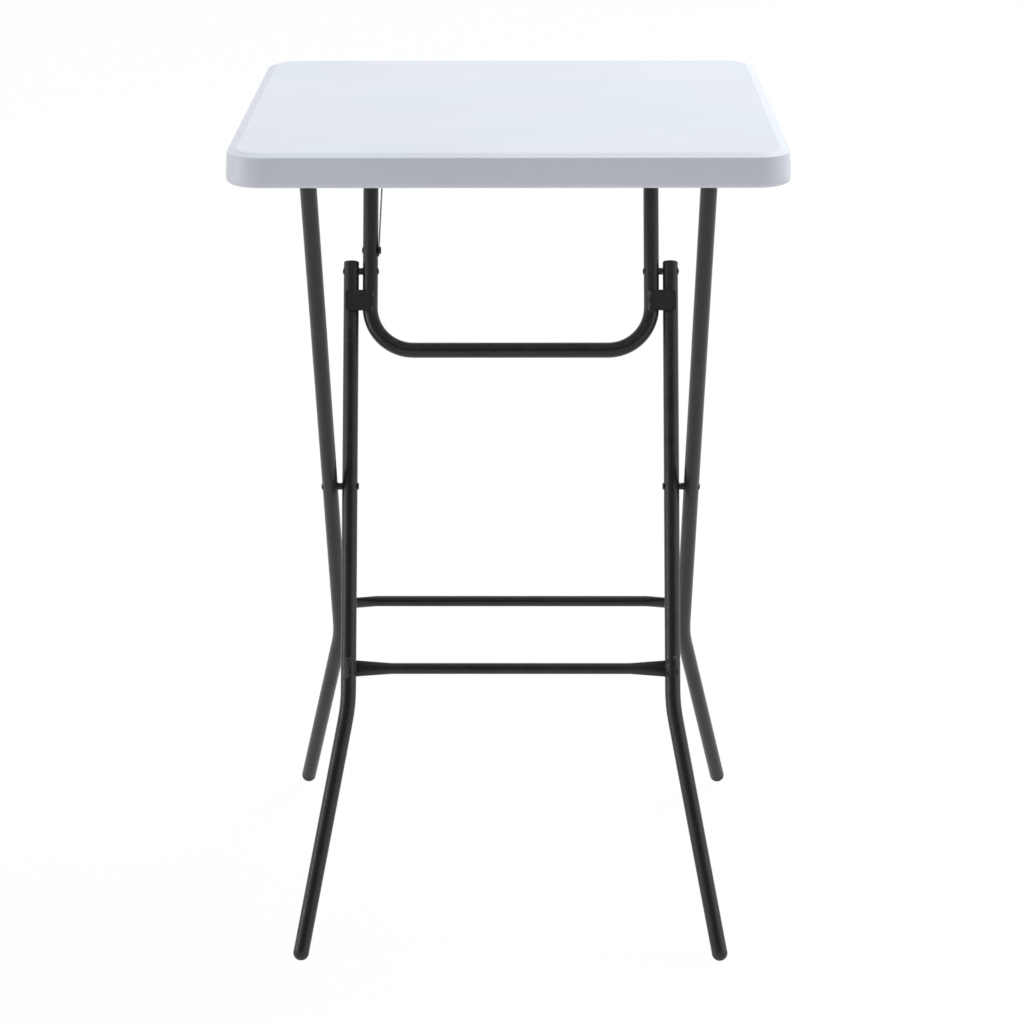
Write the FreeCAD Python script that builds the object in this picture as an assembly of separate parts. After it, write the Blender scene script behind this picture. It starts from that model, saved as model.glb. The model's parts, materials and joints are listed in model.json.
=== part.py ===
import FreeCAD, Part
import math
import os

Vector = FreeCAD.Vector

# Folding bar table: a square blow-moulded top on two crossed tube frames.
# The outer frame hinges under the front of the top and runs down to the back feet.
# The inner frame runs down to the front feet. Its upper ends are pinned to a loop of tube,
# and the loop hinges under the back of the top.
# Millimetres. X to the right, Y to the back, Z up, origin on the floor under the middle of the top.

# Table top
TABLE_HEIGHT = 1100.0
TOP_WIDTH = 689.0
TOP_DEPTH = 689.0
TOP_THICKNESS = 41.5
TOP_CORNER_RADIUS = 45.0
BEVEL_WIDTH = 12.0
BEVEL_DROP = 4.0
SIDE_LEAN = 1.6
SIDE_BULGE_HEIGHT = 14.0
SKIRT_WIDTH = 18.0
SKIRT_OUTER_ROUND = 6.0
SKIRT_INNER_ROUND = 3.0
RECESS_DEPTH = 23.5
RECESS_ROUND = 4.0
TOP_WALL = 3.0

# Dimples under the top, where the lower skin is pressed up to the upper one
DIMPLE_PITCH = 84.0
DIMPLE_MOUTH_RADIUS = 13.0
DIMPLE_TIP_RADIUS = 8.0
DIMPLE_MARGIN = 12.0

# Tubes and where they stand
TUBE_DIAMETER = 21.0
TUBE_WALL = 1.2
OUTER_LEG_INSET = 98.2
INNER_TO_OUTER_GAP = 5.9
LOOP_TO_INNER_GAP = 5.1
FOOT_SPREAD = 588.0
LEG_BEND_HEIGHT = 308.0
LEG_BEND_RADIUS = 230.0

# How far the lower runs carry the feet outward and onward from the legs' straight lines
FRONT_FOOT_OUTWARD = 62.4
BACK_FOOT_OUTWARD = 68.2
FRONT_FOOT_ONWARD = 4.0
BACK_FOOT_ONWARD = 12.0

# Hinge axes under the top
FRONT_HINGE_INSET = 56.1
BACK_HINGE_INSET = 138.5
HINGE_RISE = 5.1
END_PAST_HINGE = 9.0

# Loop, its stop plates and the capped ends of the inner legs
BAR_BELOW_PIVOT = 110.0
LOOP_BEND_RADIUS = 60.0
PLATE_BELOW_PIVOT = 42.6
PLATE_HEIGHT = 28.5
PLATE_THICKNESS = 3.0
PLATE_EDGE = 3.6
PLATE_PAST_LOOP = 2.7
PLATE_CORNER_RADIUS = 3.0
WELD_WIDTH = 12.0
CAP_ABOVE_PIVOT = 13.8
CAP_THICKNESS = 2.4
CAP_ROUND = 2.0

# Crossbars
CROSSBAR_DIAMETER = 15.0
CROSSBAR_WALL = 1.0
INNER_CROSSBAR_HEIGHT = 352.6
OUTER_CROSSBAR_HEIGHT = 350.9
FLAT_END_THICKNESS = 4.0
FLAT_END_HEIGHT = 23.6
FLAT_END_LENGTH = 58.0
FLAT_END_SINK = 0.8

# Feet and tube plugs
FOOT_COLLAR = 2.0
FOOT_FLAT_DEPTH = 0.8
PLUG_LENGTH = 18.0
PLUG_CLEARANCE = 0.05

# Rivets, spacers and screws
RIVET_DIAMETER = 6.0
RIVET_HEAD_DIAMETER = 10.0
RIVET_HEAD_HEIGHT = 1.6
RIVET_HOLLOW_DIAMETER = 3.6
RIVET_HOLLOW_DEPTH = 5.0
RIVET_SEAT_DEPTH = 1.6
RUNNING_FIT = 0.05
SIDE_PLAY = 0.3
SPACER_DIAMETER = 10.4
SPACER_WAIST = 9.0
SCREW_DIAMETER = 4.0
SCREW_LENGTH = 14.0
SCREW_HEAD_DIAMETER = 8.0
SCREW_HEAD_HEIGHT = 2.4
SCREW_BOSS_WALL = 4.5
DRIVE_LENGTH = 4.6
DRIVE_WIDTH = 0.9
DRIVE_DEPTH = 1.3

# Hinge brackets: a channel of sheet steel with a foot at each end
SHEET = 2.0
CHEEK_PLAY = 0.5
CHEEK_HALF_LENGTH = 14.0
CHEEK_END_RADIUS = 9.0
BRACKET_LENGTH = 64.0
SCREW_FROM_BRACKET_END = 8.0

# Slotted stay on the left of the loop, its bolt and its anchor under the top
STAY_ABOVE_PIVOT = 29.5
STAY_WIDTH = 16.0
STAY_THICKNESS = 1.2
STAY_ANCHOR_BEHIND_HINGE = 40.0
STAY_ANCHOR_DROP = 41.0
STAY_INWARD_LEAN = 5.8
STAY_BOLT_HEAD_HEIGHT = 2.3
STUD_DIAMETER = 4.0
STUD_HEAD_DIAMETER = 11.0
STUD_HEAD_HEIGHT = 1.8
SLOT_PLAY = 2.6
SLOT_OFFSET = -2.2
SLOT_END_PLAY = 0.4
STAY_HOLE_FIT = 0.1
ANCHOR_WIDTH = 20.0
ANCHOR_FOOT_LENGTH = 24.0
ANCHOR_LIP = 7.0
ANCHOR_CORNER_RADIUS = 5.6
FOLDED_LOOP_ANGLE = 1.0

# Places worked out from the sizes above
TUBE_RADIUS = TUBE_DIAMETER / 2
RIVET_RADIUS = RIVET_DIAMETER / 2
CROSSBAR_RADIUS = CROSSBAR_DIAMETER / 2
SCREW_RADIUS = SCREW_DIAMETER / 2
skirt_z = TABLE_HEIGHT - TOP_THICKNESS
ceiling_z = skirt_z + RECESS_DEPTH
hinge_z = skirt_z + HINGE_RISE
outer_x = TOP_WIDTH / 2 - OUTER_LEG_INSET
inner_x = outer_x - TUBE_DIAMETER - INNER_TO_OUTER_GAP
loop_x = inner_x - TUBE_DIAMETER - LOOP_TO_INNER_GAP

front_hinge = Vector(0, FRONT_HINGE_INSET - TOP_DEPTH / 2, hinge_z)
back_hinge = Vector(0, TOP_DEPTH / 2 - BACK_HINGE_INSET, hinge_z)
front_foot = Vector(0, -FOOT_SPREAD / 2, 0)
back_foot = Vector(0, FOOT_SPREAD / 2, 0)
outer_up = (front_hinge - back_foot).normalize()
inner_up = (back_hinge - front_foot).normalize()
outer_rear = Vector(0, outer_up.z, -outer_up.y)
inner_front = Vector(0, -inner_up.z, inner_up.y)


def crossing(start, direction, other, other_direction):
    """Where two lines in the side plane cross."""
    gap = other - start
    turn = direction.y * other_direction.z - direction.z * other_direction.y
    return start + direction * ((gap.y * other_direction.z - gap.z * other_direction.y) / turn)


# The legs cross at the mid pivot. The loop pivot divides the line from there to the back hinge
# so that the four links also close when they lie flat on each other.
mid_pivot = crossing(back_foot, outer_up, front_foot, inner_up)
outer_link = (front_hinge - mid_pivot).Length
top_link = (back_hinge - front_hinge).Length
straight_link = (back_hinge - mid_pivot).Length
inner_link = (straight_link + outer_link - top_link) / 2
loop_link = straight_link - inner_link
loop_pivot = mid_pivot + inner_up * inner_link
stay_pivot = loop_pivot + inner_up * STAY_ABOVE_PIVOT
stay_stud = Vector(0, back_hinge.y + STAY_ANCHOR_BEHIND_HINGE, ceiling_z - STAY_ANCHOR_DROP)

nodes = {}


def across(x):
    """Step to the right by x."""
    return Vector(x, 0, 0)


def point_at_height(foot, direction, height):
    """Point on a leg's line at a height above the floor."""
    return foot + direction * (height / direction.z)


def aligned(shape, place, direction):
    """Shape made along Z from the origin, turned to a direction and moved to a place."""
    shape.Placement = FreeCAD.Placement(place, FreeCAD.Rotation(Vector(0, 0, 1), direction))
    return shape


def cylinder(radius, start, end):
    """Round bar between two points."""
    return Part.makeCylinder(radius, (end - start).Length, start, end - start)


def cross_hole(radius, place, half_length):
    """Round bar along X, centred on a place."""
    return cylinder(radius, place - across(half_length), place + across(half_length))


def block(low, high):
    """Box between two corners."""
    size = high - low
    return Part.makeBox(size.x, size.y, size.z, low)


def turned(edges):
    """Solid of revolution about Z from edges in the XZ plane."""
    return Part.Face(Part.Wire(edges)).revolve(Vector(0, 0, 0), Vector(0, 0, 1), 360)


def outline(points):
    """Straight edges through (radius, height) points."""
    places = [Vector(r, 0, h) for r, h in points]
    return [Part.makeLine(a, b) for a, b in zip(places, places[1:])]


def curve(start, middle, end):
    """Arc through three (radius, height) points."""
    places = [Vector(r, 0, h) for r, h in (start, middle, end)]
    return Part.Arc(*places).toShape()


def dome(rim, rise):
    """Section of a low dome, from its rim at (radius, height) to its crown on the axis."""
    radius, height = rim
    sphere = (radius ** 2 + rise ** 2) / (2 * rise)
    half = math.asin(radius / sphere) / 2
    middle = (sphere * math.sin(half), height + rise - sphere + sphere * math.cos(half))
    return curve(rim, middle, (0, height + rise))


def rounded_path(points, radius):
    """Straight runs joined by tangent arcs."""
    edges = []
    start = points[0]
    for before, corner, after in zip(points, points[1:], points[2:]):
        back = (before - corner).normalize()
        ahead = (after - corner).normalize()
        half = back.getAngle(ahead) / 2
        first = corner + back * (radius / math.tan(half))
        last = corner + ahead * (radius / math.tan(half))
        middle = corner + (back + ahead).normalize() * (radius / math.sin(half) - radius)
        edges.append(Part.makeLine(start, first))
        edges.append(Part.Arc(first, middle, last).toShape())
        start = last
    edges.append(Part.makeLine(start, points[-1]))
    return Part.Wire(edges)


def bent_bar(points, bend_radius, radius):
    """Round bar along a bent path."""
    ring = Part.Wire(Part.makeCircle(radius, points[0], points[1] - points[0]))
    return rounded_path(points, bend_radius).makePipeShell([ring], True, False)


def bent_tube(points, bend_radius):
    """Tube along a bent path."""
    bore = bent_bar(points, bend_radius, TUBE_RADIUS - TUBE_WALL)
    return bent_bar(points, bend_radius, TUBE_RADIUS).cut(bore)


# Rivets

def rivet_head(place, direction, seat=None):
    """Low dome pointing along a direction. A collar under it is cut to the tube it sits on."""
    rim = RIVET_HEAD_DIAMETER / 2
    collar = RIVET_SEAT_DEPTH if seat else 0
    edges = outline([(0, RIVET_HEAD_HEIGHT), (0, -collar), (rim, -collar)])
    if seat:
        edges += outline([(rim, -collar), (rim, 0)])
    edges.append(dome((rim, 0), RIVET_HEAD_HEIGHT))
    head = aligned(turned(edges), place, direction)
    return head.cut(seat) if seat else head


def rivet_shank(start, end):
    """Shank of a tubular rivet. Its far end is rolled over into a ring with a hollow."""
    length = (end - start).Length
    rim = RIVET_HEAD_DIAMETER / 2
    hollow = RIVET_HOLLOW_DIAMETER / 2
    edges = outline([(hollow, length), (hollow, length - RIVET_HOLLOW_DEPTH),
                     (0, length - RIVET_HOLLOW_DEPTH), (0, 0), (RIVET_RADIUS, 0),
                     (RIVET_RADIUS, length), (rim, length)])
    edges.append(curve((rim, length), ((rim + hollow) / 2, length + RIVET_HEAD_HEIGHT), (hollow, length)))
    return aligned(turned(edges), start, end - start)


def waisted_spacer(start, end, seat):
    """Spacer drawn in at its middle, cut at its start to the tube it sits on."""
    length = (end - start).Length
    bore = RIVET_RADIUS + RUNNING_FIT
    rim = SPACER_DIAMETER / 2
    edges = outline([(rim, 0), (rim, -RIVET_SEAT_DEPTH), (bore, -RIVET_SEAT_DEPTH), (bore, length),
                     (rim, length)])
    edges.append(curve((rim, length), (SPACER_WAIST / 2, length / 2), (rim, 0)))
    return aligned(turned(edges), start, end - start).cut(seat)


# Table top

def top_outline(inset, z):
    """Rounded rectangle, inset from the top's outer edge, at a height."""
    half_width = TOP_WIDTH / 2 - inset
    half_depth = TOP_DEPTH / 2 - inset
    radius = TOP_CORNER_RADIUS - inset
    corner = radius * (1 - math.sqrt(0.5))
    edges = []
    sides = ((1, 1), (-1, 1), (-1, -1), (1, -1))
    for index, (sx, sy) in enumerate(sides):
        along = Vector(sx * half_width, sy * (half_depth - radius), z)
        over = Vector(sx * (half_width - radius), sy * half_depth, z)
        middle = Vector(sx * (half_width - corner), sy * (half_depth - corner), z)
        first, last = (along, over) if index % 2 == 0 else (over, along)
        if edges:
            edges.append(Part.makeLine(end, first))
        else:
            begin = first
        edges.append(Part.Arc(first, middle, last).toShape())
        end = last
    edges.append(Part.makeLine(end, begin))
    return Part.Wire(edges)


def top_layers(levels):
    """Solid through rounded rectangles, given as (inset, height)."""
    return Part.makeLoft([top_outline(inset, z) for inset, z in levels], True, True)


def level_edges(shape, z, inset_from, inset_to):
    """Edges of the top's outline that lie level at a height, between two insets."""
    found = []
    for edge in shape.Edges:
        box = edge.BoundBox
        inset = min(TOP_WIDTH / 2 - max(abs(box.XMin), abs(box.XMax)),
                    TOP_DEPTH / 2 - max(abs(box.YMin), abs(box.YMax)))
        level = box.ZLength < 0.001 and abs(box.ZMin - z) < 0.001
        if level and inset_from < inset < inset_to:
            found.append(edge)
    return found


def bracket_screw_places():
    """Screw axes at the ceiling: two for each hinge bracket and two for the stay's anchor."""
    step = BRACKET_LENGTH / 2 - SCREW_FROM_BRACKET_END
    places = []
    for x, hinge in ((outer_x, front_hinge), (loop_x, back_hinge)):
        for sign in (-1, 1):
            for way in (-1, 1):
                places.append(Vector(sign * x, hinge.y + way * step, ceiling_z))
    for way in (-1, 1):
        places.append(Vector(anchor_tab_x + SHEET + ANCHOR_FOOT_LENGTH / 2,
                             stay_stud.y + way * ANCHOR_WIDTH / 4, ceiling_z))
    return places


def dimple_places():
    """Grid of dimples under the top, clear of the brackets and the anchor."""
    half_width = TOP_WIDTH / 2 - SKIRT_WIDTH - DIMPLE_MARGIN - DIMPLE_MOUTH_RADIUS
    half_depth = TOP_DEPTH / 2 - SKIRT_WIDTH - DIMPLE_MARGIN - DIMPLE_MOUTH_RADIUS
    columns = int(half_width // DIMPLE_PITCH)
    rows = int(half_depth // DIMPLE_PITCH)
    clear = DIMPLE_MOUTH_RADIUS + SCREW_RADIUS + SCREW_BOSS_WALL + TOP_WALL
    places = []
    for column in range(-columns, columns + 1):
        for row in range(-rows, rows + 1):
            place = Vector(column * DIMPLE_PITCH, row * DIMPLE_PITCH, ceiling_z)
            if all((place - screw).Length > clear for screw in bracket_screw_places()):
                places.append(place)
    return places


def table_top():
    """Hollow moulding: a flat panel with a deep rounded skirt, recessed below and dimpled."""
    edge_z = TABLE_HEIGHT - BEVEL_DROP
    body = top_layers([(0, skirt_z), (0, skirt_z + SIDE_BULGE_HEIGHT), (SIDE_LEAN, edge_z),
                       (SIDE_LEAN + BEVEL_WIDTH, TABLE_HEIGHT)])
    body = body.makeFillet(SKIRT_OUTER_ROUND, level_edges(body, skirt_z, -1, SKIRT_WIDTH / 2))
    recess = top_layers([(SKIRT_WIDTH, skirt_z), (SKIRT_WIDTH, ceiling_z)])
    recess = recess.makeFillet(RECESS_ROUND, level_edges(recess, ceiling_z, 0, 2 * SKIRT_WIDTH))
    body = body.cut(recess)
    rim = level_edges(body, skirt_z, SKIRT_WIDTH - SKIRT_INNER_ROUND, SKIRT_WIDTH + SKIRT_INNER_ROUND)
    body = body.makeFillet(SKIRT_INNER_ROUND, rim)
    side_wall = TOP_WALL + SIDE_LEAN
    hollow_z = TABLE_HEIGHT - TOP_WALL
    hollow = top_layers([(side_wall, skirt_z + TOP_WALL + SIDE_LEAN),
                         (side_wall, edge_z - side_wall),
                         (SIDE_LEAN + BEVEL_WIDTH + TOP_WALL, hollow_z)])
    hollow = hollow.cut(top_layers([(SKIRT_WIDTH - TOP_WALL, skirt_z),
                                    (SKIRT_WIDTH - TOP_WALL, ceiling_z + TOP_WALL)]))
    up = Vector(0, 0, 1)
    dimple_depth = hollow_z - TOP_WALL - ceiling_z
    pegs = [Part.makeCone(DIMPLE_MOUTH_RADIUS + TOP_WALL, DIMPLE_TIP_RADIUS + TOP_WALL,
                          hollow_z - ceiling_z, place, up) for place in dimple_places()]
    pegs += [Part.makeCylinder(SCREW_RADIUS + SCREW_BOSS_WALL, hollow_z - ceiling_z, place, up)
             for place in bracket_screw_places()]
    hollow = hollow.cut(pegs)
    holes = [Part.makeCone(DIMPLE_MOUTH_RADIUS, DIMPLE_TIP_RADIUS, dimple_depth, place, up)
             for place in dimple_places()]
    holes += [Part.makeCylinder(SCREW_RADIUS + PLUG_CLEARANCE, SCREW_LENGTH, place, up)
              for place in bracket_screw_places()]
    return body.cut(hollow).cut(holes)


# Hinge brackets under the top, their rivets and screws

def cheek_x(way):
    """Inner and outer face of a bracket's cheek, from the tube's axis, on one side."""
    inner = TUBE_RADIUS + CHEEK_PLAY
    return sorted((way * inner, way * (inner + SHEET)))


def hinge_bracket(x, hinge):
    """Channel astride the tube's end, with a screwed foot in front of it and behind it."""
    half_width = TUBE_RADIUS + CHEEK_PLAY + SHEET
    centre = hinge + across(x)
    base = block(Vector(x - half_width, hinge.y - BRACKET_LENGTH / 2, ceiling_z - SHEET),
                 Vector(x + half_width, hinge.y + BRACKET_LENGTH / 2, ceiling_z))
    shape = base
    for way in (-1, 1):
        low, high = cheek_x(way)
        ear = cylinder(CHEEK_END_RADIUS, centre + across(low), centre + across(high))
        corners = [Vector(x + low, hinge.y - CHEEK_HALF_LENGTH, ceiling_z - SHEET),
                   Vector(x + low, hinge.y - CHEEK_END_RADIUS, hinge_z),
                   Vector(x + low, hinge.y + CHEEK_END_RADIUS, hinge_z),
                   Vector(x + low, hinge.y + CHEEK_HALF_LENGTH, ceiling_z - SHEET)]
        web = Part.Face(Part.makePolygon(corners + corners[:1])).extrude(across(high - low))
        shape = shape.fuse([web, ear])
    shape = shape.cut(cross_hole(RIVET_RADIUS + RUNNING_FIT, centre, 2 * half_width))
    step = BRACKET_LENGTH / 2 - SCREW_FROM_BRACKET_END
    for way in (-1, 1):
        hole = Vector(x, hinge.y + way * step, ceiling_z - SHEET)
        shape = shape.cut(Part.makeCylinder(SCREW_RADIUS + PLUG_CLEARANCE, SHEET, hole))
    return shape.removeSplitter()


def hinge_rivet(x, hinge):
    """Rivet through a bracket's two cheeks and the tube between them, headed on the outside."""
    sign = math.copysign(1, x)
    half = TUBE_RADIUS + CHEEK_PLAY + SHEET
    start = hinge + across(x + sign * half)
    end = hinge + across(x - sign * half)
    return rivet_shank(start, end).fuse(rivet_head(start, across(sign))).removeSplitter()


def screw(place):
    """Pan-head screw up into the top, its head under a bracket's foot, with a cross recess for a driver."""
    rim = SCREW_HEAD_DIAMETER / 2
    edges = outline([(0, SHEET + SCREW_LENGTH), (0, -SCREW_HEAD_HEIGHT)])
    edges.append(dome((rim, 0), -SCREW_HEAD_HEIGHT))
    edges += outline([(rim, 0), (SCREW_RADIUS, 0), (SCREW_RADIUS, SHEET + SCREW_LENGTH - SCREW_RADIUS),
                      (0, SHEET + SCREW_LENGTH)])
    shape = turned(edges)
    for arm_x, arm_y in ((DRIVE_LENGTH / 2, DRIVE_WIDTH / 2), (DRIVE_WIDTH / 2, DRIVE_LENGTH / 2)):
        shape = shape.cut(block(Vector(-arm_x, -arm_y, -SCREW_HEAD_HEIGHT),
                                Vector(arm_x, arm_y, DRIVE_DEPTH - SCREW_HEAD_HEIGHT)))
    return aligned(shape, place - Vector(0, 0, SHEET), Vector(0, 0, 1))


# Legs

def leg_points(x, foot, spread, up, top):
    """Top end, bend and lower end of a leg's axis. The lower run ends a spread off its line."""
    corner = point_at_height(foot, up, LEG_BEND_HEIGHT) + across(x)
    floor = foot + across(x) + spread
    down = (floor - corner).normalize()
    end = floor - down * ((TUBE_RADIUS - FOOT_FLAT_DEPTH) / -down.z)
    return [top + across(x), corner, end]


def leg(points, holes):
    """Bent leg tube, cut short by the foot's collar, with its rivet holes."""
    corner, end = points[1:]
    end = end + (corner - end).normalize() * FOOT_COLLAR
    tube = bent_tube([points[0], corner, end], LEG_BEND_RADIUS)
    return tube.cut([cross_hole(RIVET_RADIUS + RUNNING_FIT, hole, TUBE_DIAMETER) for hole in holes])


def foot(points):
    """Round-ended foot plugged into a leg, worn flat where it meets the floor."""
    corner, end = points[1:]
    inside = TUBE_RADIUS - TUBE_WALL - PLUG_CLEARANCE
    edges = outline([(0, -TUBE_RADIUS), (0, FOOT_COLLAR + PLUG_LENGTH), (inside, FOOT_COLLAR + PLUG_LENGTH),
                     (inside, FOOT_COLLAR), (TUBE_RADIUS, FOOT_COLLAR), (TUBE_RADIUS, 0)])
    side = TUBE_RADIUS * math.sqrt(0.5)
    edges.append(curve((TUBE_RADIUS, 0), (side, -side), (0, -TUBE_RADIUS)))
    shape = aligned(turned(edges), end, corner - end)
    reach = Vector(TUBE_DIAMETER, TUBE_DIAMETER, TUBE_DIAMETER)
    under_floor = block(end - reach, Vector(end.x, end.y, -TUBE_DIAMETER) + reach)
    return shape.cut(under_floor)


def leg_cap(x):
    """Plug with a rounded rim that closes an inner leg's upper end."""
    inside = TUBE_RADIUS - TUBE_WALL - PLUG_CLEARANCE
    start = loop_pivot + inner_up * (CAP_ABOVE_PIVOT - CAP_THICKNESS) + across(x)
    plug = CAP_ABOVE_PIVOT - CAP_THICKNESS - RIVET_RADIUS - SIDE_PLAY
    edges = outline([(0, CAP_THICKNESS), (0, -plug), (inside, -plug), (inside, 0), (TUBE_RADIUS, 0),
                     (TUBE_RADIUS, CAP_THICKNESS - CAP_ROUND)])
    short = CAP_ROUND * (1 - math.sqrt(0.5))
    edges.append(curve((TUBE_RADIUS, CAP_THICKNESS - CAP_ROUND),
                       (TUBE_RADIUS - short, CAP_THICKNESS - short),
                       (TUBE_RADIUS - CAP_ROUND, CAP_THICKNESS)))
    edges += outline([(TUBE_RADIUS - CAP_ROUND, CAP_THICKNESS), (0, CAP_THICKNESS)])
    return aligned(turned(edges), start, inner_up)


def crossbar(middle, half_length, up, end_shift, legs):
    """Round bar whose ends are pressed flat and welded to the legs."""
    normal = up.cross(Vector(1, 0, 0))

    def section(x, shrink, flat):
        centre = middle + across(x) + (end_shift if flat else Vector(0, 0, 0))
        if not flat:
            return Part.Wire(Part.makeCircle(CROSSBAR_RADIUS - shrink, centre, Vector(1, 0, 0)))
        tall = FLAT_END_HEIGHT / 2 - shrink
        thin = FLAT_END_THICKNESS / 2 - shrink
        ellipse = Part.Ellipse(centre + up * tall, centre + normal * thin, centre)
        return Part.Wire(ellipse.toShape())

    def spindle(shrink):
        neck = half_length - FLAT_END_LENGTH
        solid = cylinder(CROSSBAR_RADIUS - shrink, middle - across(neck), middle + across(neck))
        for sign in (-1, 1):
            ends = [section(sign * neck, shrink, False), section(sign * half_length, shrink, True)]
            solid = solid.fuse(Part.makeLoft(ends, True, False))
        return solid

    return spindle(0).cut(spindle(CROSSBAR_WALL)).cut(legs)


def straight_leg(x, place, up):
    """Solid round bar along a leg's upper run, to cut what seats on the tube."""
    reach = up * TOP_DEPTH
    return cylinder(TUBE_RADIUS, place + across(x) - reach, place + across(x) + reach)


outer_top = front_hinge + outer_up * END_PAST_HINGE
inner_top = loop_pivot + inner_up * (CAP_ABOVE_PIVOT - CAP_THICKNESS)
loop_top = back_hinge + inner_up * END_PAST_HINGE
bar_middle = loop_pivot - inner_up * BAR_BELOW_PIVOT

# The stay leans inward, from beside the loop's left tube to its stud.
# Its slot lets the stud run from the open distance to the folded one.
stay_x = -loop_x + TUBE_RADIUS + SIDE_PLAY + STAY_THICKNESS / 2
stay_open_length = (stay_stud - stay_pivot).Length
folded = math.radians(FOLDED_LOOP_ANGLE)
folded_pivot = back_hinge - Vector(0, math.cos(folded), math.sin(folded)) * (loop_link - STAY_ABOVE_PIVOT)
stay_folded_length = (stay_stud - folded_pivot).Length
stay_lean_rate = STAY_INWARD_LEAN / stay_open_length
stay_travel = (stay_folded_length - stay_open_length) * stay_lean_rate
stud_play = STAY_THICKNESS / 2 + SIDE_PLAY
stud_outer_x = stay_x + STAY_INWARD_LEAN - stud_play
stud_inner_x = stay_x + STAY_INWARD_LEAN + stay_travel + stud_play
anchor_tab_x = stud_inner_x + STAY_THICKNESS


def support_loop():
    """Loop of tube hinged under the back of the top, with the cross run that a hand pulls."""
    points = [loop_top - across(loop_x), bar_middle - across(loop_x),
              bar_middle + across(loop_x), loop_top + across(loop_x)]
    tube = bent_tube(points, LOOP_BEND_RADIUS)
    holes = [cross_hole(RIVET_RADIUS + RUNNING_FIT, place + across(sign * loop_x), TUBE_DIAMETER)
             for place in (back_hinge, loop_pivot) for sign in (-1, 1)]
    holes.append(cross_hole(RIVET_RADIUS + RUNNING_FIT, stay_pivot - across(loop_x), TUBE_DIAMETER))
    return tube.cut(holes)


def stop_plate(sign):
    """Plate welded to the loop's tube. It laps the front of the inner leg and stops the loop there."""
    near = loop_x - PLATE_PAST_LOOP
    far = inner_x + TUBE_RADIUS - PLATE_EDGE
    centre = loop_pivot - inner_up * PLATE_BELOW_PIVOT
    rear = centre + inner_front * (TUBE_RADIUS + SIDE_PLAY)
    half = inner_up * (PLATE_HEIGHT / 2)
    corners = [rear + across(sign * x) + way for x, way in
               ((near, -half), (far, -half), (far, half), (near, half))]
    plate = Part.Face(Part.makePolygon(corners + corners[:1])).extrude(inner_front * PLATE_THICKNESS)
    free_corners = [edge for edge in plate.Edges if edge.BoundBox.XLength < 0.001
                    and edge.Length < 2 * PLATE_THICKNESS and abs(edge.BoundBox.XMin) > inner_x]
    plate = plate.makeFillet(PLATE_CORNER_RADIUS, free_corners)
    deep = inner_front * (TUBE_RADIUS / 2)
    corners = [rear + across(sign * x) + way - deep for x, way in
               ((near, -half), (near + WELD_WIDTH, -half), (near + WELD_WIDTH, half), (near, half))]
    weld = Part.Face(Part.makePolygon(corners + corners[:1])).extrude(deep)
    weld = weld.cut(straight_leg(sign * loop_x, centre, inner_up))
    return plate.fuse(weld).removeSplitter()


def mid_pivot_rivet(sign):
    """Rivet through the outer leg, the spacer and the inner leg."""
    start = mid_pivot + across(sign * (outer_x + TUBE_RADIUS))
    end = mid_pivot + across(sign * (inner_x - TUBE_RADIUS - SIDE_PLAY))
    head = rivet_head(start, across(sign), straight_leg(sign * outer_x, mid_pivot, outer_up))
    return rivet_shank(start, end).fuse(head).removeSplitter()


def mid_pivot_spacer(sign):
    """Spacer on the outer leg, short of the inner leg by the side play."""
    start = mid_pivot + across(sign * (outer_x - TUBE_RADIUS))
    end = mid_pivot + across(sign * (inner_x + TUBE_RADIUS + SIDE_PLAY))
    return waisted_spacer(start, end, straight_leg(sign * outer_x, mid_pivot, outer_up))


def loop_pivot_rivet(sign):
    """Inner leg's share of the loop pivot: the rivet's head and its shank through the leg."""
    start = loop_pivot + across(sign * (inner_x + TUBE_RADIUS))
    end = loop_pivot + across(sign * (inner_x - TUBE_RADIUS))
    head = rivet_head(start, across(sign), straight_leg(sign * inner_x, loop_pivot, inner_up))
    return cylinder(RIVET_RADIUS, start, end).fuse(head).removeSplitter()


def loop_pivot_spacer(sign):
    """Spacer on the loop's tube, short of the inner leg by the side play."""
    start = loop_pivot + across(sign * (loop_x + TUBE_RADIUS))
    end = loop_pivot + across(sign * (inner_x - TUBE_RADIUS - SIDE_PLAY))
    return waisted_spacer(start, end, straight_leg(sign * loop_x, loop_pivot, inner_up))


def loop_pivot_end(sign):
    """Loop's share of the loop pivot: the rivet's end through the spacer and tube, headed inside."""
    start = loop_pivot + across(sign * (inner_x - TUBE_RADIUS - SIDE_PLAY))
    end = loop_pivot + across(sign * (loop_x - TUBE_RADIUS))
    head = rivet_head(end, across(-sign), straight_leg(sign * loop_x, loop_pivot, inner_up))
    return cylinder(RIVET_RADIUS, start, end).fuse(head).removeSplitter()


def stay_bolt():
    """Bolt through the loop's left tube and the stay, headed on both sides."""
    start = stay_pivot + across(-loop_x - TUBE_RADIUS)
    end = stay_pivot + across(stay_x + STAY_THICKNESS / 2 + SIDE_PLAY)
    head = rivet_head(start, across(-1), straight_leg(-loop_x, stay_pivot, inner_up))
    nut = Part.makeCylinder(RIVET_HEAD_DIAMETER / 2, STAY_BOLT_HEAD_HEIGHT, end, across(1))
    rim = [edge for edge in nut.Edges if edge.BoundBox.XMin > end.x + STAY_BOLT_HEAD_HEIGHT / 2]
    nut = nut.makeFillet(STAY_BOLT_HEAD_HEIGHT / 2, [e for e in rim if e.BoundBox.XLength < 0.001])
    return cylinder(RIVET_RADIUS, start, end).fuse([head, nut]).removeSplitter()


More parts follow.
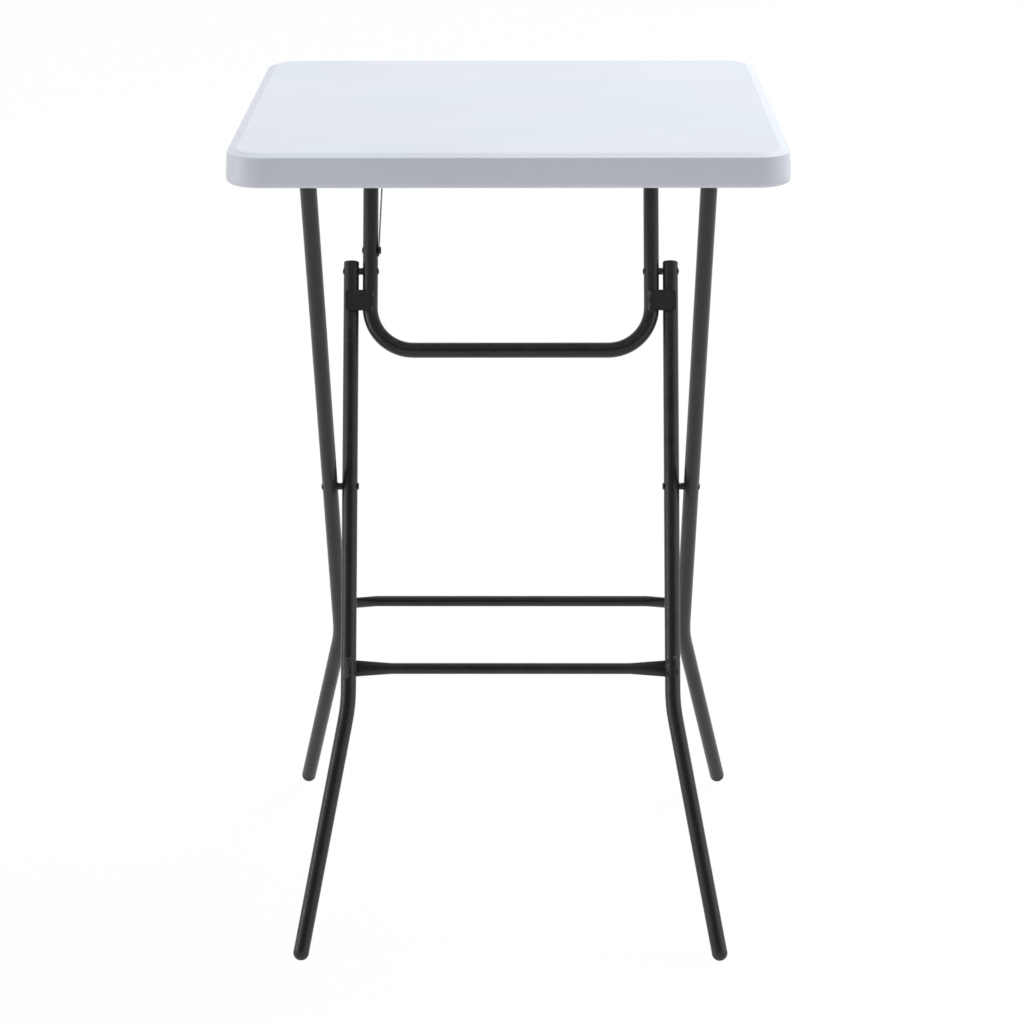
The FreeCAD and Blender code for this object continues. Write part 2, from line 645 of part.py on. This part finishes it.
def lock_stay():
    """Flat slotted strip from the bolt on the loop to the stud under the top."""
    half = STAY_WIDTH / 2
    length = stay_folded_length + SLOT_END_PLAY
    thick = across(STAY_THICKNESS)
    start = across(-STAY_THICKNESS / 2)

    def stadium(first, last, radius, shift):
        low = start + Vector(0, first, shift)
        high = start + Vector(0, last, shift)
        middle = block(low - Vector(0, 0, radius), high + Vector(STAY_THICKNESS, 0, radius))
        return middle.fuse([cylinder(radius, low, low + thick), cylinder(radius, high, high + thick)])

    slot = stadium(stay_open_length - SLOT_END_PLAY, length, STUD_DIAMETER / 2 + SLOT_PLAY, SLOT_OFFSET)
    strip = stadium(0, length, half, SLOT_OFFSET / 2).cut(slot)
    strip = strip.cut(cross_hole(RIVET_RADIUS + STAY_HOLE_FIT, Vector(0, 0, 0), STAY_THICKNESS))
    strip = strip.removeSplitter()
    lean = math.degrees(math.atan(stay_lean_rate))
    strip.rotate(Vector(0, 0, 0), Vector(0, 0, 1), -lean)
    run = stay_stud - stay_pivot
    strip.rotate(Vector(0, 0, 0), Vector(1, 0, 0), math.degrees(math.atan2(run.z, run.y)))
    strip.translate(stay_pivot + across(stay_x))
    return strip


def stay_anchor():
    """Angle of sheet steel under the top that carries the stay's stud."""
    front_y = stay_stud.y - ANCHOR_WIDTH / 2
    back_y = stay_stud.y + ANCHOR_WIDTH / 2
    inner_face = anchor_tab_x + SHEET
    tab = block(Vector(anchor_tab_x, front_y, stay_stud.z - ANCHOR_LIP),
                Vector(inner_face, back_y, ceiling_z))
    base = block(Vector(anchor_tab_x, front_y, ceiling_z - SHEET),
                 Vector(inner_face + ANCHOR_FOOT_LENGTH, back_y, ceiling_z))
    shape = tab.fuse(base).removeSplitter()
    lower_corners = [edge for edge in shape.Edges if edge.BoundBox.YLength < 0.001
                     and edge.BoundBox.ZLength < 0.001 and edge.BoundBox.ZMax < stay_stud.z]
    shape = shape.makeFillet(ANCHOR_CORNER_RADIUS, lower_corners)
    stud_place = stay_stud + across(anchor_tab_x)
    shape = shape.cut(cross_hole(STUD_DIAMETER / 2 + RUNNING_FIT, stud_place, 2 * SHEET))
    for place in bracket_screw_places()[-2:]:
        hole = place - Vector(0, 0, SHEET)
        shape = shape.cut(Part.makeCylinder(SCREW_RADIUS + PLUG_CLEARANCE, SHEET, hole))
    return shape


def stay_stud_rivet():
    """Shouldered stud through the anchor's tab. The stay's slot runs on its neck, under its head."""
    neck = STUD_DIAMETER / 2
    rim = STUD_HEAD_DIAMETER / 2
    shoulder_end = anchor_tab_x - stud_inner_x
    tail = shoulder_end + SHEET
    head = stud_outer_x - stud_inner_x
    edges = outline([(0, tail + STUD_HEAD_HEIGHT), (0, head - STUD_HEAD_HEIGHT)])
    edges.append(dome((rim, head), -STUD_HEAD_HEIGHT))
    edges += outline([(rim, head), (neck, head), (neck, 0), (2 * neck, 0), (2 * neck, shoulder_end),
                      (neck, shoulder_end), (neck, tail), (2 * neck, tail)])
    edges.append(dome((2 * neck, tail), STUD_HEAD_HEIGHT))
    return aligned(turned(edges), stay_stud + across(stud_inner_x), Vector(1, 0, 0))


nodes["table_top"] = table_top()
nodes["bracket_screws"] = Part.makeCompound([screw(place) for place in bracket_screw_places()])
nodes["support_loop"] = support_loop()
nodes["stay_bolt"] = stay_bolt()
nodes["lock_stay"] = lock_stay()
nodes["stay_anchor"] = stay_anchor()
nodes["stay_stud"] = stay_stud_rivet()

for sign, side in ((-1, "left"), (1, "right")):
    back_spread = Vector(sign * BACK_FOOT_OUTWARD, BACK_FOOT_ONWARD, 0)
    front_spread = Vector(sign * FRONT_FOOT_OUTWARD, -FRONT_FOOT_ONWARD, 0)
    outer = leg_points(sign * outer_x, back_foot, back_spread, outer_up, outer_top)
    inner = leg_points(sign * inner_x, front_foot, front_spread, inner_up, inner_top)
    nodes["outer_leg_" + side] = leg(outer, [p + across(sign * outer_x) for p in (front_hinge, mid_pivot)])
    nodes["inner_leg_" + side] = leg(inner, [p + across(sign * inner_x) for p in (loop_pivot, mid_pivot)])
    nodes["foot_back_" + side] = foot(outer)
    nodes["foot_front_" + side] = foot(inner)
    nodes["inner_leg_cap_" + side] = leg_cap(sign * inner_x)
    nodes["hinge_bracket_front_" + side] = hinge_bracket(sign * outer_x, front_hinge)
    nodes["hinge_bracket_back_" + side] = hinge_bracket(sign * loop_x, back_hinge)
    nodes["outer_hinge_rivet_" + side] = hinge_rivet(sign * outer_x, front_hinge)
    nodes["loop_hinge_rivet_" + side] = hinge_rivet(sign * loop_x, back_hinge)
    nodes["mid_pivot_rivet_" + side] = mid_pivot_rivet(sign)
    nodes["mid_pivot_spacer_" + side] = mid_pivot_spacer(sign)
    nodes["loop_pivot_rivet_" + side] = loop_pivot_rivet(sign)
    nodes["loop_pivot_spacer_" + side] = loop_pivot_spacer(sign)
    nodes["loop_pivot_end_" + side] = loop_pivot_end(sign)
    nodes["stop_plate_" + side] = stop_plate(sign)

# The inner crossbar lies between the inner legs. The outer one lies behind the outer legs,
# so that the inner legs can fold in between them.
inner_bar = point_at_height(front_foot, inner_up, INNER_CROSSBAR_HEIGHT)
outer_bar = point_at_height(back_foot, outer_up, OUTER_CROSSBAR_HEIGHT)
outer_bar_middle = outer_bar + outer_rear * (TUBE_RADIUS + CROSSBAR_RADIUS)
flat_shift = outer_rear * (FLAT_END_THICKNESS / 2 - FLAT_END_SINK - CROSSBAR_RADIUS)
nodes["inner_crossbar"] = crossbar(inner_bar, inner_x, inner_up, Vector(0, 0, 0),
                                   [straight_leg(sign * inner_x, inner_bar, inner_up) for sign in (-1, 1)])
nodes["outer_crossbar"] = crossbar(outer_bar_middle, outer_x + TUBE_RADIUS / 2, outer_up, flat_shift,
                                   [straight_leg(sign * outer_x, outer_bar, outer_up) for sign in (-1, 1)])

os.makedirs("parts", exist_ok=True)
for name, shape in nodes.items():
    shape.exportStep("parts/" + name + ".step")
    print(name, len(shape.Solids), "solids", shape.isValid(), round(shape.Volume))

for name, place in (("front_hinge", front_hinge), ("back_hinge", back_hinge), ("mid_pivot", mid_pivot),
                    ("loop_pivot", loop_pivot), ("stay_pivot", stay_pivot), ("stay_stud", stay_stud)):
    print(name, round(place.y, 4), round(place.z, 4))
print("links", round(top_link, 4), round(outer_link, 4), round(inner_link, 4), round(loop_link, 4))
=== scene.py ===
import json
import math
from collections import namedtuple

import bmesh
import bpy
from mathutils import Matrix, Vector


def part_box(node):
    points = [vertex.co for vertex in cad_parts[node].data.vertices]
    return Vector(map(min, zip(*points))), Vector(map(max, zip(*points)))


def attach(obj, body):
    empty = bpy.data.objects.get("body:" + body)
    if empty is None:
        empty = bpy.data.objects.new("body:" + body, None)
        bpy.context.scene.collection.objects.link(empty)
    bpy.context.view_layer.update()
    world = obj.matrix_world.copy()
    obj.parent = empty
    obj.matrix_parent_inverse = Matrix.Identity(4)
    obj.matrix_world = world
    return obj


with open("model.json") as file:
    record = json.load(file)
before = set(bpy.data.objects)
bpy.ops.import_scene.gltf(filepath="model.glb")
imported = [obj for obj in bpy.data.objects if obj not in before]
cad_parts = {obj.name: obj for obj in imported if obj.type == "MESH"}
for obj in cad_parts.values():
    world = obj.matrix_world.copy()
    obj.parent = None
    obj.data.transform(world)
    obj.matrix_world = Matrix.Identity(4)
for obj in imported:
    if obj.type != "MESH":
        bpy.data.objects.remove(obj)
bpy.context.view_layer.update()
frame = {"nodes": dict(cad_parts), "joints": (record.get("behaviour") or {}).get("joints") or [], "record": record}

# Camera, from the fit to the top's outline and the legs in the photograph.
# Metres and degrees: where it stands, how far it looks down, its turn and its small roll.
CAMERA_PLACE = Vector((0.02675, -3.7827, 1.7910))
CAMERA_DOWN = 18.391
CAMERA_TURN = 0.381
CAMERA_ROLL = -0.122
CAMERA_LENS = 101.823
CAMERA_SENSOR = 36.0
CAMERA_REACH = 50.0

camera = bpy.data.objects.new("camera", bpy.data.cameras.new("camera"))
bpy.context.collection.objects.link(camera)
camera.data.sensor_width = CAMERA_SENSOR
camera.data.lens = CAMERA_LENS
camera.data.clip_end = CAMERA_REACH
camera.matrix_world = (
    Matrix.Translation(CAMERA_PLACE)
    @ Matrix.Rotation(math.radians(CAMERA_TURN), 4, "Z")
    @ Matrix.Rotation(math.radians(90.0 - CAMERA_DOWN), 4, "X")
    @ Matrix.Rotation(math.radians(CAMERA_ROLL), 4, "Z")
)
bpy.context.scene.camera = camera
bpy.context.scene.view_settings.view_transform = "Standard"


def linear(code):
    """sRGB hex colour as linear red, green, blue and alpha."""
    parts = [int(code[i:i + 2], 16) / 255 for i in (1, 3, 5)]
    return [c / 12.92 if c <= 0.04045 else ((c + 0.055) / 1.055) ** 2.4 for c in parts] + [1.0]


def per_metre(millimetres):
    """Pattern scale that gives features of about this size."""
    return 1000.0 / millimetres


def put(tree, kind, sockets, stops=(), **settings):
    """Adds a node with its settings and links.

    A socket takes a number, a colour, an output, or a node, which gives its first output.
    Stops are the two ends of a colour ramp, each a position and a hex colour or a grey.
    """
    node = tree.nodes.new(kind)
    for key, value in settings.items():
        setattr(node, key, value)
    for key, value in sockets.items():
        if isinstance(value, bpy.types.Node):
            value = value.outputs[0]
        if isinstance(value, bpy.types.NodeSocket):
            tree.links.new(value, node.inputs[key])
        else:
            node.inputs[key].default_value = value
    if stops:
        for element, (position, colour) in zip(node.color_ramp.elements, stops):
            element.position = position
            element.color = linear(colour) if isinstance(colour, str) else (colour, colour, colour, 1.0)
    return node


def start_material(name):
    """Empty material, its node tree and the part's own coordinates, in metres."""
    material = bpy.data.materials.new(name)
    material.use_nodes = True
    tree = material.node_tree
    tree.nodes.clear()
    place = put(tree, "ShaderNodeTexCoord", {}).outputs["Object"]
    return material, tree, place


# High-density polyethylene, blow-moulded in a stippled mould: off-white, satin, faintly cool,
# with a fine pebble and slight clouding where the wall cooled unevenly.
# The pebble is about 1 mm on such tops. It is drawn at 2.4 mm, as coarse as it needs to show.
def moulded_polyethylene():
    material, tree, place = start_material("moulded_polyethylene")
    cloud = put(tree, "ShaderNodeTexNoise", {"Vector": place, "Scale": per_metre(160), "Detail": 3.0})
    tint = put(tree, "ShaderNodeTexNoise", {"Vector": place, "Scale": per_metre(260), "Detail": 1.0})
    pebble = put(tree, "ShaderNodeTexVoronoi",
                 {"Vector": place, "Scale": per_metre(2.4), "Randomness": 1.0}, feature="SMOOTH_F1")
    stipple = put(tree, "ShaderNodeTexNoise", {"Vector": place, "Scale": per_metre(1.2), "Detail": 2.0})
    cool = put(tree, "ShaderNodeValToRGB", {"Fac": cloud}, stops=[(0.3, "#e3e8ee"), (0.7, "#e7ecf2")])
    warm = put(tree, "ShaderNodeValToRGB", {"Fac": cloud}, stops=[(0.3, "#e5e7ee"), (0.7, "#e9ebf3")])
    share = put(tree, "ShaderNodeValToRGB", {"Fac": tint}, stops=[(0.4, 0.0), (0.6, 1.0)])
    colour = put(tree, "ShaderNodeMix", {"Factor": share, 6: cool, 7: warm}, data_type="RGBA")
    gloss = put(tree, "ShaderNodeValToRGB", {"Fac": stipple}, stops=[(0.3, 0.40), (0.7, 0.52)])
    dent = put(tree, "ShaderNodeBump", {"Height": pebble, "Strength": 0.20, "Distance": 0.0006})
    grain = put(tree, "ShaderNodeBump",
                {"Height": stipple, "Strength": 0.10, "Distance": 0.0004, "Normal": dent})
    shader = put(tree, "ShaderNodeBsdfPrincipled",
                 {"Base Color": colour.outputs[2], "Roughness": gloss, "IOR": 1.54, "Normal": grain})
    put(tree, "ShaderNodeOutputMaterial", {"Surface": shader})
    return material


# Polyester powder coat on steel: black, satin, with a low orange peel and slow changes of tone.
def black_powder_coat(name, low, high, peel_strength):
    material, tree, place = start_material(name)
    peel = put(tree, "ShaderNodeTexNoise", {"Vector": place, "Scale": per_metre(4.5), "Detail": 2.0})
    tone = put(tree, "ShaderNodeTexNoise", {"Vector": place, "Scale": per_metre(38), "Detail": 4.0})
    colour = put(tree, "ShaderNodeValToRGB", {"Fac": tone}, stops=[(0.3, low), (0.72, high)])
    gloss = put(tree, "ShaderNodeValToRGB", {"Fac": peel}, stops=[(0.3, 0.27), (0.7, 0.37)])
    bump = put(tree, "ShaderNodeBump", {"Height": peel, "Strength": peel_strength, "Distance": 0.0008})
    shader = put(tree, "ShaderNodeBsdfPrincipled",
                 {"Base Color": colour, "Roughness": gloss, "IOR": 1.5, "Specular IOR Level": 0.33,
                  "Normal": bump})
    put(tree, "ShaderNodeOutputMaterial", {"Surface": shader})
    return material


# Low-density polyethylene plugs and spacers: black, moulded with a matt spark finish. Its grain is
# well under 1 mm. It is drawn at 1 mm, as coarse as it needs to show.
# The lowest few millimetres, where the feet rub on floors, are scuffed grey up to a ragged line.
RUBBED_BELOW = 0.003
CLEAN_ABOVE = 0.008
RAGGED_BY = 0.006


def black_polyethylene():
    material, tree, place = start_material("black_polyethylene")
    spark = put(tree, "ShaderNodeTexNoise", {"Vector": place, "Scale": per_metre(1.0), "Detail": 3.0})
    scuff = put(tree, "ShaderNodeTexNoise", {"Vector": place, "Scale": per_metre(9), "Detail": 5.0})
    clean = put(tree, "ShaderNodeValToRGB", {"Fac": scuff}, stops=[(0.35, "#1c1c1c"), (0.7, "#2a2a2a")])
    rubbed = put(tree, "ShaderNodeValToRGB", {"Fac": scuff}, stops=[(0.35, "#2e2d2c"), (0.7, "#4a4846")])
    height = put(tree, "ShaderNodeSeparateXYZ", {0: place}).outputs["Z"]
    ragged = put(tree, "ShaderNodeMath", {0: scuff, 1: RAGGED_BY, 2: height}, operation="MULTIPLY_ADD")
    share = put(tree, "ShaderNodeMapRange", {0: ragged, 1: CLEAN_ABOVE, 2: RUBBED_BELOW})
    colour = put(tree, "ShaderNodeMix", {"Factor": share, 6: clean, 7: rubbed}, data_type="RGBA")
    gloss = put(tree, "ShaderNodeValToRGB", {"Fac": spark}, stops=[(0.3, 0.50), (0.7, 0.66)])
    bump = put(tree, "ShaderNodeBump", {"Height": spark, "Strength": 0.15, "Distance": 0.0003})
    shader = put(tree, "ShaderNodeBsdfPrincipled",
                 {"Base Color": colour.outputs[2], "Roughness": gloss, "IOR": 1.51, "Normal": bump})
    put(tree, "ShaderNodeOutputMaterial", {"Surface": shader})
    return material


# Zinc plated steel screws: pale grey metal with a faint cloudy bloom.
def zinc_plate():
    material, tree, place = start_material("zinc_plate")
    bloom = put(tree, "ShaderNodeTexNoise", {"Vector": place, "Scale": per_metre(3), "Detail": 4.0})
    colour = put(tree, "ShaderNodeValToRGB", {"Fac": bloom}, stops=[(0.3, "#a3a49f"), (0.7, "#c4c5c2")])
    gloss = put(tree, "ShaderNodeValToRGB", {"Fac": bloom}, stops=[(0.3, 0.28), (0.7, 0.42)])
    shader = put(tree, "ShaderNodeBsdfPrincipled",
                 {"Base Color": colour, "Roughness": gloss, "Metallic": 1.0})
    put(tree, "ShaderNodeOutputMaterial", {"Surface": shader})
    return material


FINISH = {
    "moulded_top": moulded_polyethylene(),
    "black_coat": black_powder_coat("black_powder_coat", "#272625", "#302f2e", 0.30),
    "black_plastic": black_polyethylene(),
    "dark_rivet": black_powder_coat("black_coated_rivet", "#1d1d1e", "#2c2c2d", 0.10),
    "steel_strip": black_powder_coat("black_coated_strip", "#242425", "#303031", 0.10),
    "zinc_screw": zinc_plate(),
}
for part in frame["record"]["subparts"]:
    mesh = frame["nodes"][part["node"]].data
    mesh.materials.clear()
    mesh.materials.append(FINISH[part["material_slot"]])


# Places on the frame, in metres
def centre(node):
    """Middle of a CAD node's box."""
    low, high = (Vector(corner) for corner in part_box(node))
    return (low + high) / 2


def pivot(name):
    """Point on a joint's axis, in the middle plane."""
    joint = next(j for j in frame["joints"] if j["name"] == name)
    return Vector((0, joint["pos_m"][1], joint["pos_m"][2]))


MM = 0.001
cap_low, cap_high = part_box("inner_leg_cap_right")
TUBE_RADIUS = (cap_high[0] - cap_low[0]) / 2
ACROSS = Vector((1, 0, 0))


# Weld beads: ridges of weld metal that stand on a tube's own surface.
# A bead runs from one place to another. A place is its turn round the tube, in degrees to the side
# that the weld is on, and its distance along the tube. Lengths are in millimetres.
Bead = namedtuple("Bead", "turn along end_turn end_along width height ripple")
# Mesh step and the room that is searched round a bead
WELD_MESH_STEP = 0.5
WELD_MARGIN = 7.0
# How far a bead is let into the tube, how low it ends, and how deep its root lies
WELD_SINK = 0.3
WELD_EDGE = 0.1
WELD_ROOT = 0.6
# Ripples along a bead, as a share of its height, and how far its line wanders
RIPPLE_SHARE = 0.13
SLOW_RIPPLE = 0.37
WANDER = 0.35
SLOW_WANDER = 0.42
QUICK_WANDER = 1.3
QUICK_SHARE = 0.6


def bead_rise(bead, turn, along, radius):
    """Height of a bead at a place on the tube."""
    length = bead.end_along - bead.along
    share = min(1.0, max(0.0, (along - bead.along) / length))
    line = math.radians(bead.turn + (bead.end_turn - bead.turn) * share)
    past = max(0.0, bead.along - along, along - bead.end_along) / bead.width
    wave = 2 * math.pi * along / bead.ripple + bead.turn
    wander = WANDER * (math.sin(SLOW_WANDER * wave) + QUICK_SHARE * math.sin(QUICK_WANDER * wave))
    aside = ((turn - line) * radius + wander) / bead.width
    ripple = 1 + RIPPLE_SHARE * (math.sin(wave) + math.sin(SLOW_RIPPLE * wave))
    return bead.height * ripple * math.exp(-aside * aside - past * past)


def weld(name, body, place, along, facing, side, beads):
    """Closed beads of weld metal on a tube. Their edges and roots lie inside the tube's wall."""
    radius = TUBE_RADIUS / MM
    turns = [math.radians(turn) for b in beads for turn in (b.turn, b.end_turn)]
    first = min(turns) - WELD_MARGIN / radius
    last = max(turns) + WELD_MARGIN / radius
    low = min(b.along for b in beads) - WELD_MARGIN
    high = max(b.end_along for b in beads) + WELD_MARGIN
    rows = int((high - low) / WELD_MESH_STEP)
    columns = int((last - first) * radius / WELD_MESH_STEP)
    rises = []
    crests = []
    roots = []
    for row in range(rows + 1):
        step = low + (high - low) * row / rows
        for column in range(columns + 1):
            turn = first + (last - first) * column / columns
            rise = max(bead_rise(b, turn, step, radius) for b in beads)
            out = facing * math.cos(turn) + side * math.sin(turn)
            spot = place + along * (step * MM)
            rises.append(rise)
            crests.append(spot + out * ((radius + rise - WELD_SINK) * MM))
            roots.append(spot + out * ((radius - WELD_ROOT) * MM))
    skin = []
    for row in range(rows):
        for column in range(columns):
            corner = row * (columns + 1) + column
            face = (corner, corner + 1, corner + columns + 2, corner + columns + 1)
            if max(rises[c] for c in face) > WELD_EDGE:
                skin.append(face)
    # Only the points of the beads are kept, and each has a root point as many places further on.
    used = sorted({corner for face in skin for corner in face})
    number = {corner: count for count, corner in enumerate(used)}
    skin = [tuple(number[corner] for corner in face) for face in skin]
    below = len(used)
    sides = {pair for face in skin for pair in zip(face, face[1:] + face[:1])}
    rim = sorted(pair for pair in sides if pair[::-1] not in sides)
    faces = skin + [tuple(corner + below for corner in reversed(face)) for face in skin]
    faces += [(b, a, a + below, b + below) for a, b in rim]
    mesh = bpy.data.meshes.new(name)
    mesh.from_pydata([crests[c] for c in used] + [roots[c] for c in used], [], faces)
    shape = bmesh.new()
    shape.from_mesh(mesh)
    bmesh.ops.recalc_face_normals(shape, faces=shape.faces)
    shape.to_mesh(mesh)
    shape.free()
    mesh.shade_smooth()
    mesh.materials.append(FINISH["black_coat"])
    piece = bpy.data.objects.new(name, mesh)
    bpy.context.collection.objects.link(piece)
    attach(piece, body)


mid_pivot = pivot("inner_fold")
inner_up = centre("loop_pivot_spacer_right") - mid_pivot
inner_up = Vector((0, inner_up.y, inner_up.z)).normalized()
outer_up = (pivot("top_fold") - mid_pivot).normalized()
inner_front = Vector((0, -inner_up.z, inner_up.y))
outer_rear = Vector((0, outer_up.z, -outer_up.y))
inner_x = centre("inner_leg_cap_right").x
outer_x = centre("outer_hinge_rivet_right").x
loop_x = centre("loop_hinge_rivet_right").x
inner_bar = centre("inner_crossbar")
outer_bar = centre("outer_crossbar")
# The outer bar lies behind its legs, so its place on their axis is straight in front of it.
outer_bar -= outer_rear * (outer_bar - mid_pivot).dot(outer_rear)

# Hand-made welds differ from side to side.
BAR_FRONT_BEADS = {
    "left": [
        Bead(-8, -12, -6, 12, 1.7, 2.1, 6.0),
        Bead(13, 4, 15, 13, 1.5, 2.4, 5.0),
        Bead(64, -9, 64, 9, 2.0, 2.2, 7.0),
    ],
    "right": [
        Bead(36, -11, 70, 2, 1.7, 2.1, 7.0),
        Bead(70, 2, 42, 10, 1.7, 1.9, 6.0),
        Bead(-22, 11, -14, 14, 2.0, 2.2, 5.0),
        Bead(-38, -8, -34, -1, 1.6, 1.3, 6.0),
    ],
}
BAR_BACK_BEADS = [Bead(58, -10, 58, 10, 2.2, 2.4, 6.0)]
OUTER_BAR_BEADS = [Bead(36, -9, 36, 9, 2.2, 2.8, 6.0)]
PLATE_BEADS = {
    "left": [
        Bead(14, 8, 12, 11, 1.9, 3.0, 6.0),
        Bead(12, -13, 10, -10, 1.8, 2.8, 6.0),
    ],
    "right": [
        Bead(12, 6, 13, 12, 2.3, 4.6, 6.0),
        Bead(11, -8, 12, 7, 1.6, 4.1, 9.0),
        Bead(9, -13, 11, -7, 2.4, 4.5, 6.0),
    ],
}

for hand, sign in (("left", -1), ("right", 1)):
    inward = ACROSS * -sign
    plate = centre("stop_plate_" + hand)
    at_inner_leg = inner_bar + ACROSS * (sign * inner_x)
    at_outer_leg = outer_bar + ACROSS * (sign * outer_x)
    at_plate = mid_pivot + inner_up * (plate - mid_pivot).dot(inner_up) + ACROSS * (sign * loop_x)
    weld("inner_crossbar_weld_front_" + hand, "inner_frame", at_inner_leg,
         inner_up, inner_front, inward, BAR_FRONT_BEADS[hand])
    weld("inner_crossbar_weld_back_" + hand, "inner_frame", at_inner_leg,
         inner_up, -inner_front, inward, BAR_BACK_BEADS)
    weld("outer_crossbar_weld_" + hand, "outer_frame", at_outer_leg,
         outer_up, outer_rear, -inward, OUTER_BAR_BEADS)
    weld("stop_plate_weld_" + hand, "loop", at_plate,
         inner_up, inner_front, inward, PLATE_BEADS[hand])

# Studio: a pale floor that runs on to a white surround, and soft light from above, right and left.
FLOOR_REACH = 14.0
FLOOR_CORNERS = ((-1, -1), (1, -1), (1, 1), (-1, 1))
floor_mesh = bpy.data.meshes.new("studio_floor")
floor_mesh.from_pydata([(x * FLOOR_REACH, y * FLOOR_REACH, 0) for x, y in FLOOR_CORNERS], [],
                       [(0, 1, 2, 3)])
floor = bpy.data.objects.new("studio_floor", floor_mesh)
bpy.context.collection.objects.link(floor)

# Seen by the camera, the floor is nearly all its own white, and the rest keeps the shadow.
FLOOR_WHITE = 1.02
FLOOR_OWN_SHARE = 0.95
material, tree, place = start_material("pale_studio_floor")
paper = put(tree, "ShaderNodeTexNoise", {"Vector": place, "Scale": per_metre(400), "Detail": 2.0})
tone = put(tree, "ShaderNodeValToRGB", {"Fac": paper}, stops=[(0.3, "#d8d5d7"), (0.7, "#dad7d9")])
pale = put(tree, "ShaderNodeBsdfDiffuse", {"Color": tone})
white = put(tree, "ShaderNodeEmission", {"Color": linear("#ffffff"), "Strength": FLOOR_WHITE})
ray = put(tree, "ShaderNodeLightPath", {}).outputs
seen = put(tree, "ShaderNodeMath", {0: ray["Is Camera Ray"], 1: ray["Is Glossy Ray"]},
           operation="MAXIMUM")
seen = put(tree, "ShaderNodeMath", {0: seen, 1: ray["Is Transmission Ray"]}, operation="MAXIMUM")
share = put(tree, "ShaderNodeMath", {0: seen, 1: FLOOR_OWN_SHARE}, operation="MULTIPLY")
above = put(tree, "ShaderNodeMixShader", {0: share, 1: pale, 2: white})
# From below the floor is clear, so that it never hides the underside of the table.
underneath = put(tree, "ShaderNodeNewGeometry", {}).outputs["Backfacing"]
clear = put(tree, "ShaderNodeBsdfTransparent", {})
surface = put(tree, "ShaderNodeMixShader", {0: underneath, 1: above, 2: clear})
put(tree, "ShaderNodeOutputMaterial", {"Surface": surface})
floor_mesh.materials.append(material)

# Surround: soft light on the table, white to the camera. The studio is dark high up in front, and
# satin tubes show that as a dark streak.
SOFT_STRENGTH = 0.46
HIGH_FRONT = (0.0, -0.85, 0.53)
world = bpy.data.worlds.new("white_studio")
bpy.context.scene.world = world
world.use_nodes = True
tree = world.node_tree
tree.nodes.clear()
ray = put(tree, "ShaderNodeLightPath", {}).outputs
soft = put(tree, "ShaderNodeBackground", {"Color": linear("#fcfdff"), "Strength": SOFT_STRENGTH})
white = put(tree, "ShaderNodeBackground", {"Color": linear("#ffffff"), "Strength": 1.0})
way = put(tree, "ShaderNodeTexCoord", {}).outputs["Generated"]
front = put(tree, "ShaderNodeVectorMath", {0: way, 1: HIGH_FRONT}, operation="DOT_PRODUCT")
shade = put(tree, "ShaderNodeValToRGB", {"Fac": front.outputs["Value"]},
            stops=[(0.72, 1.0), (0.88, 0.03)])
mirrored = put(tree, "ShaderNodeBackground", {"Color": shade, "Strength": 1.0})
unseen = put(tree, "ShaderNodeMixShader", {0: ray["Is Glossy Ray"], 1: soft, 2: mirrored})
seen = put(tree, "ShaderNodeMath", {0: ray["Is Camera Ray"], 1: ray["Is Transmission Ray"]},
           operation="MAXIMUM")
surround = put(tree, "ShaderNodeMixShader", {0: seen, 1: unseen, 2: white})
put(tree, "ShaderNodeOutputWorld", {"Surface": surround})


def soft_box(name, place, aim, width, height, power, colour):
    """Rectangular soft light at a place, facing a point."""
    lamp = bpy.data.lights.new(name, "AREA")
    lamp.shape = "RECTANGLE"
    lamp.size = width
    lamp.size_y = height
    lamp.energy = power
    lamp.color = linear(colour)[:3]
    holder = bpy.data.objects.new(name, lamp)
    holder.location = place
    holder.rotation_euler = (Vector(aim) - Vector(place)).to_track_quat("-Z", "Y").to_euler()
    bpy.context.collection.objects.link(holder)


# The main light comes from the right and behind, high up. It leaves the left bevel a little darker.
# A low light on each side lifts the round corners of the top.
TOP_MIDDLE = (0, 0, 1.1)
LEGS_MIDDLE = (0, 0, 0.8)
soft_box("main_soft_box", (5.5, 3.4, 8.45), TOP_MIDDLE, 4.4, 4.4, 690.0, "#f7fbff")
soft_box("left_soft_box", (-3.2, -0.8, 0.8), LEGS_MIDDLE, 0.8, 1.6, 19.0, "#ffffff")
soft_box("right_soft_box", (3.2, -0.8, 0.8), LEGS_MIDDLE, 0.8, 1.6, 6.5, "#ffffff")
